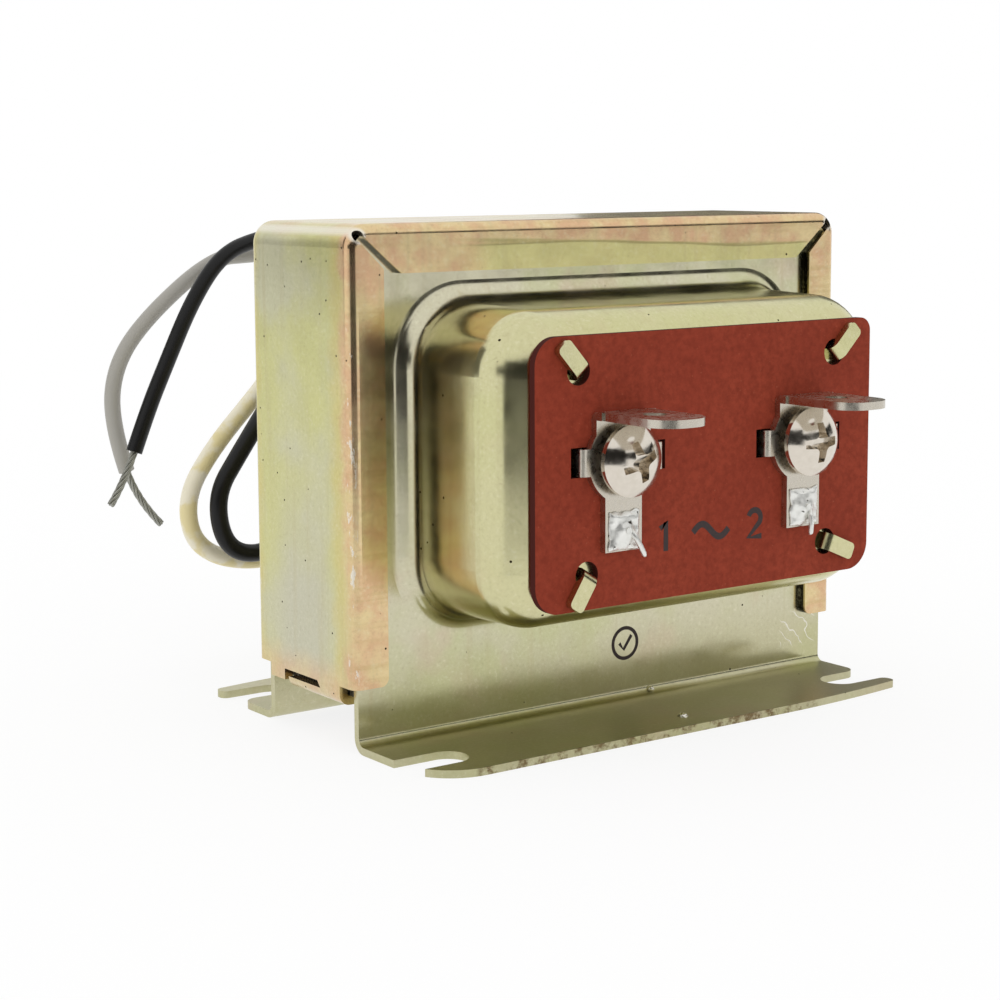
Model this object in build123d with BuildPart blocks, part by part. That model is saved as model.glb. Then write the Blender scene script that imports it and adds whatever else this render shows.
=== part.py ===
# Lock transformer: a laminated core and coil held between two drawn end plates by a folded band,
# with a fibre terminal board on the front boss and two primary leads at the back.
# Millimetres. X runs along the front, -Y is the front, Z is up from the underside of the feet.
# The origin is the middle of the four foot slots.

import os
from math import pi, radians, sin, tan

from build123d import *

os.makedirs("parts", exist_ok=True)

# Sheet metal of the band, and the thinner sheet of both end plates
sheet = 0.95
plate_sheet = 0.8

# Laminated core
core_stack = 16.1
tongue_width = 19.0
window_width = 12.7
window_height = 28.0
core_side_gap = 0.25
core_corner = 1.6

# Folded band
case_width = 66.0
case_top = 53.5
skirt_height = 6.8
corner_radius = 2.4
fold_radius = 1.1
side_lip = 4.1
top_lip = 5.0
lip_corner = 0.9
mitre_run = 2.1
mitre_gap = 0.7
side_mitre = 0.5
relief_hole = 1.1
relief_inset = 1.2
leg_near = 4.1
leg_far = 6.9
leg_bottom = 5.4
flange_reach = 6.5
flange_underside = 4.7
flange_bend = 1.2
finger_end = 3.3
finger_slot_height = 0.7
finger_slot_front = 2.5
finger_slot_lean = 0.6

# Drawn end plates
plate_side_gap = 0.05
plate_corner = 2.0
boss_width = 51.2
boss_height = 32.3
boss_lift = 0.15
boss_depth = 16.3
boss_corner = 6.6
boss_edge = 5.2
boss_root = 2.2
boss_draft = 1.5
bend_inner = 0.8
foot_reach = 12.95
slot_width = 4.4
slot_setback = 7.7
slot_end_x = 24.9
prong_tip = 1.6
swept_tip = 0.8
outer_corner = 6.0
swept_run = 18.0
swept_drop = 1.3

# Window and hold-down tabs of the front boss; each tab is bent over by hand at its own angle
window_open_width = 39.0
window_open_height = 15.0
hold_tab_lift = 10.1
hold_tab_upper_x = 17.1
hold_tab_lower_x = 16.1
hold_tab_width = 1.8
hold_tab_reach = 3.7
hold_tab_bend = 1.0
hold_tab_gap = 0.05
hold_tab_round = 0.5
hold_tab_angles = {(-1, 1): 48.0, (1, 1): 45.0, (-1, -1): 57.0, (1, -1): 23.0}

# Terminal board
board_width = 44.8
board_height = 27.1
board_thickness = 0.8
board_corner = 2.8
board_cut_corner = 1.4
board_hole = 2.8
wire_hole = 1.0

# Screw terminals
terminal_x = 12.1
terminal_lift = 1.15
terminal_sheet = 0.8
terminal_disc = 8.6
terminal_neck = 6.8
terminal_rise = 4.9
spade_width = 6.35
spade_length = 10.9
spade_round = 2.7
spade_hole = 2.3
spade_hole_inset = 5.4
ear_height = 2.7
ear_span = 10.4
ear_slot_width = 1.95
ear_slot_height = 2.95
ear_slot_outer = 5.95
ear_tail = 1.2
ear_bend = 0.56
tail_width = 4.6
tail_drop = 9.1
collar_outer = 4.6
collar_clearance = 0.15
tapped_hole = 3.6

# Terminal screws
screw_major = 3.5
screw_length = 6.0
head_diameter = 7.2
head_gap = 0.9
head_rim = 0.55
head_height = 2.1
recess_span = 4.4
recess_width = 1.1
recess_web = 0.45
recess_depth = 1.3
recess_taper = 14.0
recess_turns = {"left": 20.0, "right": 3.0}

# Solder on the tails and the wire ends in it
solder_width = 4.3
solder_height = 4.4
solder_thickness = 0.9
solder_round = 0.6
wire_end_diameter = 0.7
wire_end_drop = 7.0

# Coil
bobbin_wall = 1.0
bobbin_clearance = 0.2
bobbin_flange = 1.0
coil_end_gap = 0.3
coil_overhang = 12.0
coil_flange_margin = 0.8
coil_corner = 4.0
primary_share = 0.6
tape_thickness = 0.25
insulator_thickness = 0.4
insulator_width = 40.0
splice_gap = 0.05

# Primary leads
lead_diameter = 2.1
conductor_diameter = 1.0
bare_start = 2.0
bare_bend = 2.5
bushing_x = -6.0
bushing_drop = 7.25
inner_bend = 1.3
inner_run = 5.5
bushing_hole = 8.0
bushing_head = 9.6
bushing_lip = 1.2
bushing_behind = 0.6
lead_spacing = 3.2
splice_diameter = 3.0
splice_length = 9.0

# Routes of the free leads, from the bushing's outer face to the end of the insulation,
# and the tips of their stripped ends
white_route = [
    (-6.0, 26.35, 20.4),
    (-6.0, 31.2, 20.4),
    (-8.6, 35.0, 14.6),
    (-17.6, 35.4, 11.4),
    (-26.8, 35.0, 13.8),
    (-28.5, 34.8, 20.3),
    (-24.3, 35.2, 26.2),
    (-16.5, 37.0, 32.6),
    (-7.2, 42.6, 39.2),
    (2.8, 51.4, 43.8),
    (9.4, 60.0, 46.4),
    (6.6, 66.8, 47.6),
    (-0.4, 67.4, 47.2),
    (-7.0, 66.6, 47.0),
    (-17.1, 66.2, 39.5),
    (-21.9, 66.0, 33.5),
    (-22.7, 66.0, 26.2),
    (-20.6, 66.0, 19.6),
]
black_route = [
    (-6.0, 26.35, 23.6),
    (-6.0, 31.0, 23.6),
    (-9.2, 33.2, 20.8),
    (-14.4, 32.6, 16.2),
    (-19.8, 31.6, 13.2),
    (-25.0, 31.4, 14.6),
    (-26.2, 31.4, 21.0),
    (-22.4, 31.9, 25.9),
    (-17.6, 33.6, 30.9),
    (-9.4, 38.0, 37.6),
    (0.4, 44.2, 43.0),
    (8.4, 51.8, 47.0),
    (10.4, 59.2, 49.6),
    (5.4, 63.4, 50.4),
    (-1.9, 62.8, 49.6),
    (-8.1, 61.8, 47.7),
    (-12.6, 61.8, 41.8),
    (-16.8, 61.8, 33.3),
    (-19.4, 61.8, 27.9),
    (-21.5, 61.8, 22.6),
]
white_tip = (-16.2, 65.2, 12.2)
black_tip = (-25.3, 61.2, 16.1)

# Places worked out from the sizes above
case_depth = core_stack + 2 * (sheet + plate_sheet)
lip_face = -case_depth / 2
plate_face = lip_face + sheet
plate_back = plate_face + plate_sheet
boss_face = plate_face - boss_depth
board_face = boss_face - board_thickness
terminal_face = board_face - terminal_sheet
inner_half = case_width / 2 - sheet
plate_half = inner_half - plate_side_gap
core_bottom = flange_underside + sheet
core_top = case_top - sheet
boss_centre_z = (core_bottom + core_top) / 2 + boss_lift
board_centre_z = boss_centre_z
terminal_z = board_centre_z + terminal_lift
bushing_z = boss_centre_z - bushing_drop
core_half = inner_half - core_side_gap
yoke = (core_top - core_bottom - window_height) / 2
window_bottom = core_bottom + yoke
window_top = window_bottom + window_height
tongue_half = tongue_width / 2
window_outer = tongue_half + window_width
foot_edge = lip_face - foot_reach
slot_y = lip_face - slot_setback
slot_radius = slot_width / 2
coil_front = -core_stack / 2 - coil_overhang


def front_plane(y, x=0.0, z=0.0):
    """A drawing plane that faces the front, with its x to the right and its y up."""
    return Plane(origin=(x, y, z), x_dir=(1, 0, 0), z_dir=(0, -1, 0))


def finish(piece, name):
    """Label a finished piece and write its STEP file."""
    piece.part.label = name
    export_step(piece.part, f"parts/{name}.step")


# Band: one strip folded over the top and sides, its lips over both end plates
with BuildPart() as case_band:
    with BuildSketch(front_plane(0)) as band_outline:
        with Locations((0, (case_top + leg_bottom) / 2)):
            Rectangle(case_width, case_top - leg_bottom)
        fillet(band_outline.vertices().group_by(Axis.Y)[-1], corner_radius)
    extrude(amount=case_depth / 2, both=True)
    rims = case_band.faces().filter_by(Axis.Y)
    rim_edges = rims.edges().filter_by(lambda e: e.center().Z > leg_bottom + 0.01)
    fillet(rim_edges, fold_radius)
    with BuildSketch(front_plane(0)) as band_inside:
        with Locations((0, core_top / 2)):
            Rectangle(2 * inner_half, core_top)
        fillet(band_inside.vertices().group_by(Axis.Y)[-1], corner_radius - sheet)
    extrude(amount=case_depth / 2 - sheet, both=True, mode=Mode.SUBTRACT)

    # Opening between the lips; at each upper corner a mitred slit runs out into a relief hole
    lip_x = case_width / 2 - side_lip
    lip_z = case_top - top_lip
    relief_x = case_width / 2 - relief_inset
    relief_z = case_top - relief_inset
    slit_half = mitre_gap / 2 * sin(pi / 4)
    with BuildSketch(front_plane(0)):
        for side in (-1, 1):
            with BuildLine():
                Polyline(
                    (0, 0),
                    (side * lip_x, 0),
                    (side * lip_x, lip_z + side_mitre),
                    (side * (relief_x + slit_half), relief_z - slit_half),
                    (side * (relief_x - slit_half), relief_z + slit_half),
                    (side * (lip_x - mitre_run), lip_z),
                    (0, lip_z),
                    close=True,
                )
            make_face()
            with Locations((side * relief_x, relief_z)):
                Circle(relief_hole / 2)
    extrude(amount=case_depth, both=True, mode=Mode.SUBTRACT)

    # Lower edge: the lips end at the skirt, and the wall between them ends in a plain rear leg
    # and a front flange, which has a finger set free by a slot with a leaning end
    bend_centre_x = case_width / 2 - flange_bend
    bend_centre_z = flange_underside + flange_bend
    finger_slot_top = bend_centre_z + finger_slot_height
    with BuildSketch(Plane.YZ):
        for side in (-1, 1):
            with Locations((side * (case_depth / 2 + leg_far) / 2, skirt_height / 2)):
                Rectangle(case_depth / 2 - leg_far, skirt_height)
        with BuildLine():
            Polyline(
                (-leg_far, 0),
                (-leg_far, bend_centre_z),
                (-finger_slot_front - finger_slot_lean, bend_centre_z),
                (-finger_slot_front, finger_slot_top),
                (leg_near, finger_slot_top),
                (leg_near, 0),
                close=True,
            )
        make_face()
    extrude(amount=case_width, both=True, mode=Mode.SUBTRACT)
    lip_ends = case_band.edges().filter_by(Axis.Y)
    lip_ends = lip_ends.filter_by(lambda e: abs(abs(e.center().X) - lip_x) < 0.01)
    lip_ends = lip_ends.filter_by(lambda e: abs(e.center().Z - skirt_height) < 0.01)
    fillet(lip_ends, lip_corner)

    # The flange and its finger are bent under the core and lock it
    with BuildSketch(front_plane(-leg_far)):
        for side in (-1, 1):
            bend_centre = (side * bend_centre_x, bend_centre_z)
            flange_end = side * (case_width / 2 - flange_reach)
            with BuildLine():
                outer = CenterArc(bend_centre, flange_bend, -90, side * 90)
                inner = CenterArc(bend_centre, flange_bend - sheet, -90, side * 90)
                Line(outer @ 1, inner @ 1)
                Polyline(
                    outer @ 0,
                    (flange_end, flange_underside),
                    (flange_end, flange_underside + sheet),
                    inner @ 0,
                )
            make_face()
    extrude(amount=-(leg_far + finger_end))
finish(case_band, "case_band")


# The pressing shared by both end plates: a drawn boss, and a foot bent out at the bottom
with BuildPart() as plate:
    bend_outer = bend_inner + plate_sheet
    with BuildSketch(Plane.YZ.offset(-plate_half)):
        with BuildLine():
            heel = CenterArc((plate_back - bend_outer, bend_outer), bend_outer, 0, -90)
            instep = CenterArc((plate_back - bend_outer, bend_outer), bend_inner, 0, -90)
            Polyline(
                heel @ 0,
                (plate_back, core_top),
                (plate_face, core_top),
                instep @ 0,
            )
            Polyline(heel @ 1, (foot_edge, 0), (foot_edge, plate_sheet), instep @ 1)
        make_face()
    extrude(amount=2 * plate_half)
    shoulders = plate.edges().filter_by(Axis.Y).group_by(Axis.Z)[-1]
    fillet(shoulders, plate_corner)

    # Foot outline: a large left corner, two open slots, and a right prong that is swept back
    left_corner = plate.edges().filter_by(Axis.Z).group_by(Axis.Y)[0].sort_by(Axis.X)[0]
    fillet(left_corner, outer_corner)
    for side in (-1, 1):
        with BuildSketch(Plane.XY):
            arc_x = slot_end_x + slot_radius
            with Locations((side * (arc_x + case_width / 4), slot_y)):
                Rectangle(case_width / 2, slot_width)
            with Locations((side * arc_x, slot_y)):
                Circle(slot_radius)
        extrude(amount=plate_sheet, mode=Mode.SUBTRACT)
    with BuildSketch(Plane.XY):
        with BuildLine():
            sweep_back = ThreePointArc(
                (plate_half - swept_run, foot_edge),
                (plate_half - swept_run / 2, foot_edge + swept_drop / 4),
                (plate_half, foot_edge + swept_drop),
            )
            Polyline(
                sweep_back @ 1,
                (plate_half + sheet, foot_edge - sheet),
                (plate_half - swept_run, foot_edge - sheet),
                sweep_back @ 0,
            )
        make_face()
    extrude(amount=plate_sheet, mode=Mode.SUBTRACT)
    prongs = plate.edges().filter_by(Axis.Z).filter_by(lambda e: abs(e.length - plate_sheet) < 0.01)
    right_outer = prongs.filter_by(
        lambda e: e.center().X > plate_half - 0.01 and e.center().Y < slot_y
    )
    right_inner = prongs.filter_by(
        lambda e: e.center().X > plate_half - 0.01 and e.center().Y > slot_y
    )
    fillet(right_outer, swept_tip)
    fillet(right_inner, prong_tip)

    # Drawn boss: the wall leans in a little, the mouth and the face edge are rounded
    with BuildSketch(front_plane(plate_face, z=boss_centre_z)):
        RectangleRounded(boss_width, boss_height, boss_corner)
    extrude(amount=boss_depth, taper=boss_draft)
    mouth = plate.faces().filter_by(Axis.Y).filter_by(
        lambda f: abs(f.center().Y - plate_face) < 0.01
    )
    mouth_edges = mouth.edges().filter_by(
        lambda e: abs(e.center().X) < boss_width / 2 + 0.01
        and abs(e.center().Z - boss_centre_z) < boss_height / 2 + 0.01
    )
    fillet(mouth_edges, boss_root)
    face_edges = plate.faces().sort_by(Axis.Y)[0].edges()
    fillet(face_edges, boss_edge)

    # Inside of the boss, one sheet thickness in
    with BuildPart(mode=Mode.PRIVATE) as hollow:
        with BuildSketch(front_plane(plate_back, z=boss_centre_z)):
            RectangleRounded(
                boss_width - 2 * plate_sheet, boss_height - 2 * plate_sheet, boss_corner - plate_sheet
            )
        extrude(amount=boss_depth, taper=boss_draft)
        fillet(hollow.faces().sort_by(Axis.Y)[0].edges(), boss_edge - plate_sheet)
    add(hollow.part, mode=Mode.SUBTRACT)


# Front plate: a window behind the terminal board, and four tabs folded over the board's corners
hold_tab_places = {}
for side, level in hold_tab_angles:
    place_x = hold_tab_upper_x if level > 0 else hold_tab_lower_x
    hold_tab_places[side, level] = (side * place_x, level * hold_tab_lift)
with BuildPart() as front_plate:
    add(plate.part)
    with BuildSketch(front_plane(boss_face, z=board_centre_z)):
        RectangleRounded(window_open_width, window_open_height, board_corner)
    extrude(amount=-2 * plate_sheet, mode=Mode.SUBTRACT)
    rise = board_thickness + hold_tab_gap + plate_sheet
    half_sheet = plate_sheet / 2
    for (side, level), angle in hold_tab_angles.items():
        place_x, place_z = hold_tab_places[side, level]
        root = Vector(place_x, boss_face, board_centre_z + place_z)
        outward = Vector(side, 0, 0).rotate(Axis.Y, -side * level * angle)
        with BuildSketch(Plane(origin=root, x_dir=outward, z_dir=outward.cross(Vector(0, -1, 0)))):
            with BuildLine():
                bend_centre = (hold_tab_bend - half_sheet, rise - hold_tab_bend)
                back = CenterArc(bend_centre, hold_tab_bend, 180, -90)
                fold = CenterArc(bend_centre, hold_tab_bend - plate_sheet, 90, 90)
                Polyline(back @ 1, (hold_tab_reach, rise), (hold_tab_reach, rise - plate_sheet), fold @ 0)
                Polyline(fold @ 1, (half_sheet, -half_sheet), (-half_sheet, -half_sheet), back @ 0)
            make_face()
        extrude(amount=hold_tab_width / 2, both=True)
    tab_tips = front_plate.edges().filter_by(Axis.Y).filter_by(lambda e: e.center().Y < board_face)
    fillet(tab_tips, hold_tab_round)
finish(front_plate, "front_plate")

# Rear plate: the same pressing turned about, with a hole for the lead bushing
rear_face = -boss_face
with BuildPart() as rear_plate:
    add(plate.part, rotation=(0, 0, 180))
    with BuildSketch(front_plane(rear_face, x=bushing_x, z=bushing_z)):
        Circle(bushing_hole / 2)
    extrude(amount=2 * plate_sheet, mode=Mode.SUBTRACT)
finish(rear_plate, "rear_plate")

# Terminal board: punched fibre sheet on the boss face, with its upper right corner cut closer
with BuildPart() as terminal_board:
    with BuildSketch(front_plane(boss_face, z=board_centre_z)) as board_outline:
        Rectangle(board_width, board_height)
        fillet(board_outline.vertices().sort_by(Axis.X)[:2], board_corner)
        fillet(board_outline.vertices().group_by(Axis.Y)[0].sort_by(Axis.X)[-1], board_corner)
        fillet(board_outline.vertices().group_by(Axis.Y)[-1].sort_by(Axis.X)[-1], board_cut_corner)
        with Locations(*hold_tab_places.values()):
            Circle(board_hole / 2, mode=Mode.SUBTRACT)
        for side in (-1, 1):
            with Locations((side * terminal_x, terminal_z - board_centre_z)):
                Circle(collar_outer / 2 + collar_clearance, mode=Mode.SUBTRACT)
            slot_middle = ear_slot_outer - ear_slot_width / 2
            for ear in (-1, 1):
                with Locations((side * terminal_x + ear * slot_middle, terminal_z - board_centre_z)):
                    Rectangle(ear_slot_width, ear_slot_height, mode=Mode.SUBTRACT)
            with Locations((side * terminal_x, terminal_z - wire_end_drop - board_centre_z)):
                Circle(wire_hole / 2, mode=Mode.SUBTRACT)
    extrude(amount=board_thickness)
finish(terminal_board, "terminal_board")

# Screw terminals, their screws, and the solder and wire end on each tail
for name, x in (("left", -terminal_x), ("right", terminal_x)):
    seat = front_plane(board_face, x=x, z=terminal_z)

    with BuildPart() as terminal:
        with BuildSketch(seat):
            Circle(terminal_disc / 2)
            with Locations((0, terminal_rise / 2)):
                Rectangle(terminal_neck, terminal_rise - terminal_sheet)
            with Locations((0, -tail_drop / 2)):
                Rectangle(tail_width, tail_drop)
            Rectangle(ear_span, ear_height)
        extrude(amount=terminal_sheet)
        with BuildSketch(Plane.YZ.offset(x - terminal_neck / 2)) as spade_side:
            elbow_y = board_face - terminal_sheet
            elbow_z = terminal_z + terminal_rise - terminal_sheet
            with BuildLine():
                outside = CenterArc((elbow_y, elbow_z), terminal_sheet, 0, 90)
                Polyline(
                    outside @ 1,
                    (board_face - spade_length, terminal_z + terminal_rise),
                    (board_face - spade_length, elbow_z),
                    (elbow_y, elbow_z),
                    (elbow_y, terminal_z + terminal_sheet),
                    (board_face, terminal_z + terminal_sheet),
                    outside @ 0,
                )
            make_face()
        extrude(amount=terminal_neck)
        spade_sides = (terminal_neck - spade_width) / 2
        for side in (-1, 1):
            with BuildSketch(Plane.XY.offset(terminal_z + terminal_rise)):
                with Locations((x + side * terminal_neck / 2, terminal_face - spade_length)):
                    Rectangle(2 * spade_sides, 2 * (spade_length - terminal_sheet))
            extrude(amount=-terminal_sheet, mode=Mode.SUBTRACT)
        spade_tip = terminal.faces().sort_by(Axis.Y)[0].edges().filter_by(Axis.Z)
        fillet(spade_tip, spade_round)
        with BuildSketch(Plane.XY.offset(terminal_z + terminal_rise)):
            with Locations((x, board_face - spade_length + spade_hole_inset)):
                Circle(spade_hole / 2)
        extrude(amount=-2 * terminal_sheet, mode=Mode.SUBTRACT)
        ear_middle = ear_span / 2 - terminal_sheet / 2
        with BuildSketch(seat):
            with Locations((-ear_middle, 0), (ear_middle, 0)):
                Rectangle(terminal_sheet, ear_height)
        extrude(amount=-(board_thickness + ear_tail))
        with BuildSketch(seat):
            Circle(collar_outer / 2)
        extrude(amount=-board_thickness)
        ear_bends = terminal.edges().filter_by(Axis.Z).filter_by(
            lambda e: abs(abs(e.center().X - x) - ear_span / 2) < 0.01
            and abs(e.center().Y - terminal_face) < 0.01
        )
        fillet(ear_bends, ear_bend)
        with BuildSketch(seat.offset(terminal_sheet)):
            Circle(tapped_hole / 2)
            with Locations((0, -wire_end_drop)):
                Circle(wire_hole / 2)
        extrude(amount=-2 * terminal_sheet, mode=Mode.SUBTRACT)
    finish(terminal, f"terminal_{name}")

    with BuildPart() as screw:
        dome_rise = head_height - head_rim
        dome_radius = (head_diameter**2 / 4 + dome_rise**2) / (2 * dome_rise)
        under_head = terminal_face - head_gap
        with BuildSketch(Plane(origin=(x, under_head, terminal_z), x_dir=(1, 0, 0), z_dir=(0, 0, 1))):
            with BuildLine():
                rim = Polyline(
                    (0, screw_length),
                    (screw_major / 2, screw_length),
                    (screw_major / 2, 0),
                    (head_diameter / 2, 0),
                    (head_diameter / 2, -head_rim),
                )
                RadiusArc(rim @ 1, (0, -head_height), dome_radius)
                Line((0, -head_height), rim @ 0)
            make_face()
        revolve(axis=Axis((x, under_head, terminal_z), (0, 1, 0)))
        turn = recess_turns[name]
        with BuildSketch(front_plane(under_head - head_height, x=x, z=terminal_z)) as recess:
            Rectangle(recess_span, recess_width, rotation=turn)
            Rectangle(recess_width, recess_span, rotation=turn)
            fillet(recess.vertices().sort_by_distance((0, 0, 0))[:4], recess_web)
        extrude(amount=-recess_depth, taper=recess_taper, mode=Mode.SUBTRACT)
    finish(screw, f"terminal_screw_{name}")

    with BuildPart() as solder:
        tail_middle = front_plane(terminal_face, x=x, z=terminal_z - wire_end_drop)
        with BuildSketch(tail_middle):
            RectangleRounded(solder_width, solder_height, solder_round)
        extrude(amount=solder_thickness)
        fillet(solder.faces().sort_by(Axis.Y)[0].edges(), solder_round)
        with BuildSketch(tail_middle):
            Circle(wire_end_diameter / 2)
        extrude(amount=solder_thickness, mode=Mode.SUBTRACT)
    finish(solder, f"solder_{name}")

    with BuildPart() as wire_end:
        with BuildSketch(front_plane(coil_front, x=x, z=terminal_z - wire_end_drop)):
            Circle(wire_end_diameter / 2)
        extrude(amount=coil_front - terminal_face + solder_thickness)
    finish(wire_end, f"secondary_end_{name}")

# Core: butted E and I laminations, each stack as one block
with BuildPart() as core_e_stack:
    with BuildSketch(front_plane(0)) as e_outline:
        with Locations((0, (core_top + window_bottom) / 2)):
            Rectangle(2 * core_half, core_top - window_bottom)
        fillet(e_outline.vertices().group_by(Axis.Y)[-1], core_corner)
        for side in (-1, 1):
            with Locations((side * (tongue_half + window_width / 2), window_bottom + window_height / 2)):
                Rectangle(window_width, window_height, mode=Mode.SUBTRACT)
    extrude(amount=core_stack / 2, both=True)
finish(core_e_stack, "core_e_stack")

with BuildPart() as core_i_stack:
    with BuildSketch(front_plane(0)):
        with Locations((0, (window_bottom + core_bottom) / 2)):
            Rectangle(2 * core_half, window_bottom - core_bottom)
    extrude(amount=core_stack / 2, both=True)
finish(core_i_stack, "core_i_stack")

# Coil: a two-chamber bobbin on the tongue, the primary above and the secondary below
tube_x = tongue_half + bobbin_clearance + bobbin_wall
tube_y = core_stack / 2 + bobbin_clearance + bobbin_wall
flange_x = window_outer - bobbin_clearance
flange_y = -coil_front + coil_flange_margin
bobbin_bottom = window_bottom + coil_end_gap
bobbin_top = window_top - coil_end_gap
chamber_height = bobbin_top - bobbin_bottom - 3 * bobbin_flange
primary_height = primary_share * chamber_height
divider = bobbin_top - bobbin_flange - primary_height - bobbin_flange
flange_levels = (bobbin_bottom, divider, bobbin_top - bobbin_flange)
with BuildPart() as bobbin:
    with BuildSketch(Plane.XY.offset(bobbin_bottom)):
        Rectangle(2 * tube_x, 2 * tube_y)
    extrude(amount=bobbin_top - bobbin_bottom)
    for level in flange_levels:
        with BuildSketch(Plane.XY.offset(level)):
            RectangleRounded(2 * flange_x, 2 * flange_y, coil_corner)
        extrude(amount=bobbin_flange)
    with BuildSketch(Plane.XY.offset(bobbin_bottom)):
        Rectangle(2 * (tube_x - bobbin_wall), 2 * (tube_y - bobbin_wall))
    extrude(amount=bobbin_top - bobbin_bottom, mode=Mode.SUBTRACT)
finish(bobbin, "bobbin")

coil_x = flange_x - coil_flange_margin
coil_y = -coil_front
for name, low, high in (
    ("primary", divider + bobbin_flange, bobbin_top - bobbin_flange),
    ("secondary", bobbin_bottom + bobbin_flange, divider),
):
    wound_x = coil_x - tape_thickness
    wound_y = coil_y - tape_thickness
    wound_corner = coil_corner - tape_thickness
    with BuildPart() as winding:
        with BuildSketch(Plane.XY.offset(low)):
            RectangleRounded(2 * wound_x, 2 * wound_y, wound_corner)
            Rectangle(2 * tube_x, 2 * tube_y, mode=Mode.SUBTRACT)
        extrude(amount=high - low)
    finish(winding, f"{name}_winding")
    with BuildPart() as tape:
        with BuildSketch(Plane.XY.offset(low)):
            RectangleRounded(2 * coil_x, 2 * coil_y, coil_corner)
            RectangleRounded(2 * wound_x, 2 * wound_y, wound_corner, mode=Mode.SUBTRACT)
        extrude(amount=high - low)
    finish(tape, f"{name}_tape")

# Lead bushing in the rear boss, with two bores for the primary leads
with BuildPart() as lead_bushing:
    with BuildSketch(front_plane(rear_face, x=bushing_x, z=bushing_z)):
        Circle(bushing_head / 2)
    extrude(amount=-bushing_lip)
    fillet(lead_bushing.faces().sort_by(Axis.Y)[-1].edges(), bushing_lip / 2)
    with BuildSketch(front_plane(rear_face, x=bushing_x, z=bushing_z)):
        Circle(bushing_hole / 2)
    extrude(amount=plate_sheet + bushing_behind)
    with BuildSketch(front_plane(rear_face + bushing_lip, x=bushing_x, z=bushing_z)):
        with GridLocations(0, lead_spacing, 1, 2):
            Circle(lead_diameter / 2)
    extrude(amount=bushing_lip + plate_sheet + bushing_behind, mode=Mode.SUBTRACT)
finish(lead_bushing, "lead_bushing")


def arc_radii(points):
    """The largest arc for each corner: 0.45 of the shorter run, over the tangent of half the turn."""
    corners = [Vector(*p) for p in points]
    radii = []
    for before, corner, after in zip(corners, corners[1:], corners[2:]):
        run_in = corner - before
        run_out = after - corner
        half_turn = radians(run_in.get_angle(run_out)) / 2
        radii.append(0.45 * min(run_in.length, run_out.length) / tan(half_turn))
    return radii


# Inner stretches of the primary leads, from the bushing's face to the splices on the coil
splice_y = flange_y + splice_diameter / 2 + splice_gap
bushing_face = rear_face + bushing_lip
for name, level, way in (
    ("black", lead_spacing / 2, Vector(0, 0, 1)),
    ("white", -lead_spacing / 2, Vector(-1, 0, 0)),
):
    with BuildPart() as inner_lead:
        entry = Vector(bushing_x, bushing_face, bushing_z + level)
        elbow = Vector(bushing_x, splice_y, bushing_z + level)
        splice_start = elbow + way * inner_run
        with BuildLine() as inner_path:
            FilletPolyline(entry, elbow, splice_start, radius=inner_bend)
        with BuildSketch(Plane(origin=entry, z_dir=(0, -1, 0))):
            Circle(lead_diameter / 2)
        sweep()
    finish(inner_lead, f"inner_lead_{name}")
    with BuildPart() as splice:
        with BuildSketch(Plane(origin=splice_start, z_dir=way)):
            Circle(splice_diameter / 2)
        extrude(amount=splice_length)
    finish(splice, f"splice_{name}")

# Fish paper between the coil and the backs of the terminals
with BuildPart() as coil_insulator:
    insulator_z = (bobbin_bottom + bobbin_top) / 2
    with BuildSketch(front_plane(-flange_y, z=insulator_z)):
        Rectangle(insulator_width, bobbin_top - bobbin_bottom)
        wire_level = terminal_z - wire_end_drop - insulator_z
        with Locations((-terminal_x, wire_level), (terminal_x, wire_level)):
            Circle(wire_end_diameter / 2, mode=Mode.SUBTRACT)
    extrude(amount=insulator_thickness)
finish(coil_insulator, "coil_insulator")

# Free primary leads, each with its stripped and tinned end
for name, route, tip in (("white", white_route, white_tip), ("black", black_route, black_tip)):
    radii = arc_radii(route)
    print(name, "lead radii", [round(r, 1) for r in radii])
    with BuildPart() as lead:
        with BuildLine() as lead_path:
            FilletPolyline(*route, radius=radii)
        lead_wire = lead_path.wire()
        with BuildSketch(Plane(origin=route[0], z_dir=lead_wire % 0)):
            Circle(lead_diameter / 2)
        sweep()
    tube_volume = lead_wire.length * pi * lead_diameter**2 / 4
    print(name, "lead length", round(lead_wire.length, 1))
    print(name, "lead volume over section times length", round(lead.part.volume / tube_volume, 4))
    finish(lead, f"lead_{name}")
    with BuildPart() as bare_end:
        start = lead_wire @ 1
        heading = lead_wire % 1
        with BuildLine():
            FilletPolyline(start, start + heading * bare_start, tip, radius=bare_bend)
        with BuildSketch(Plane(origin=start, z_dir=heading)):
            Circle(conductor_diameter / 2)
        sweep()
    finish(bare_end, f"bare_end_{name}")
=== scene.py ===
from math import cos, exp, pi, radians, sin

import bmesh
import bpy
from mathutils import Matrix, Vector, noise


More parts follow.
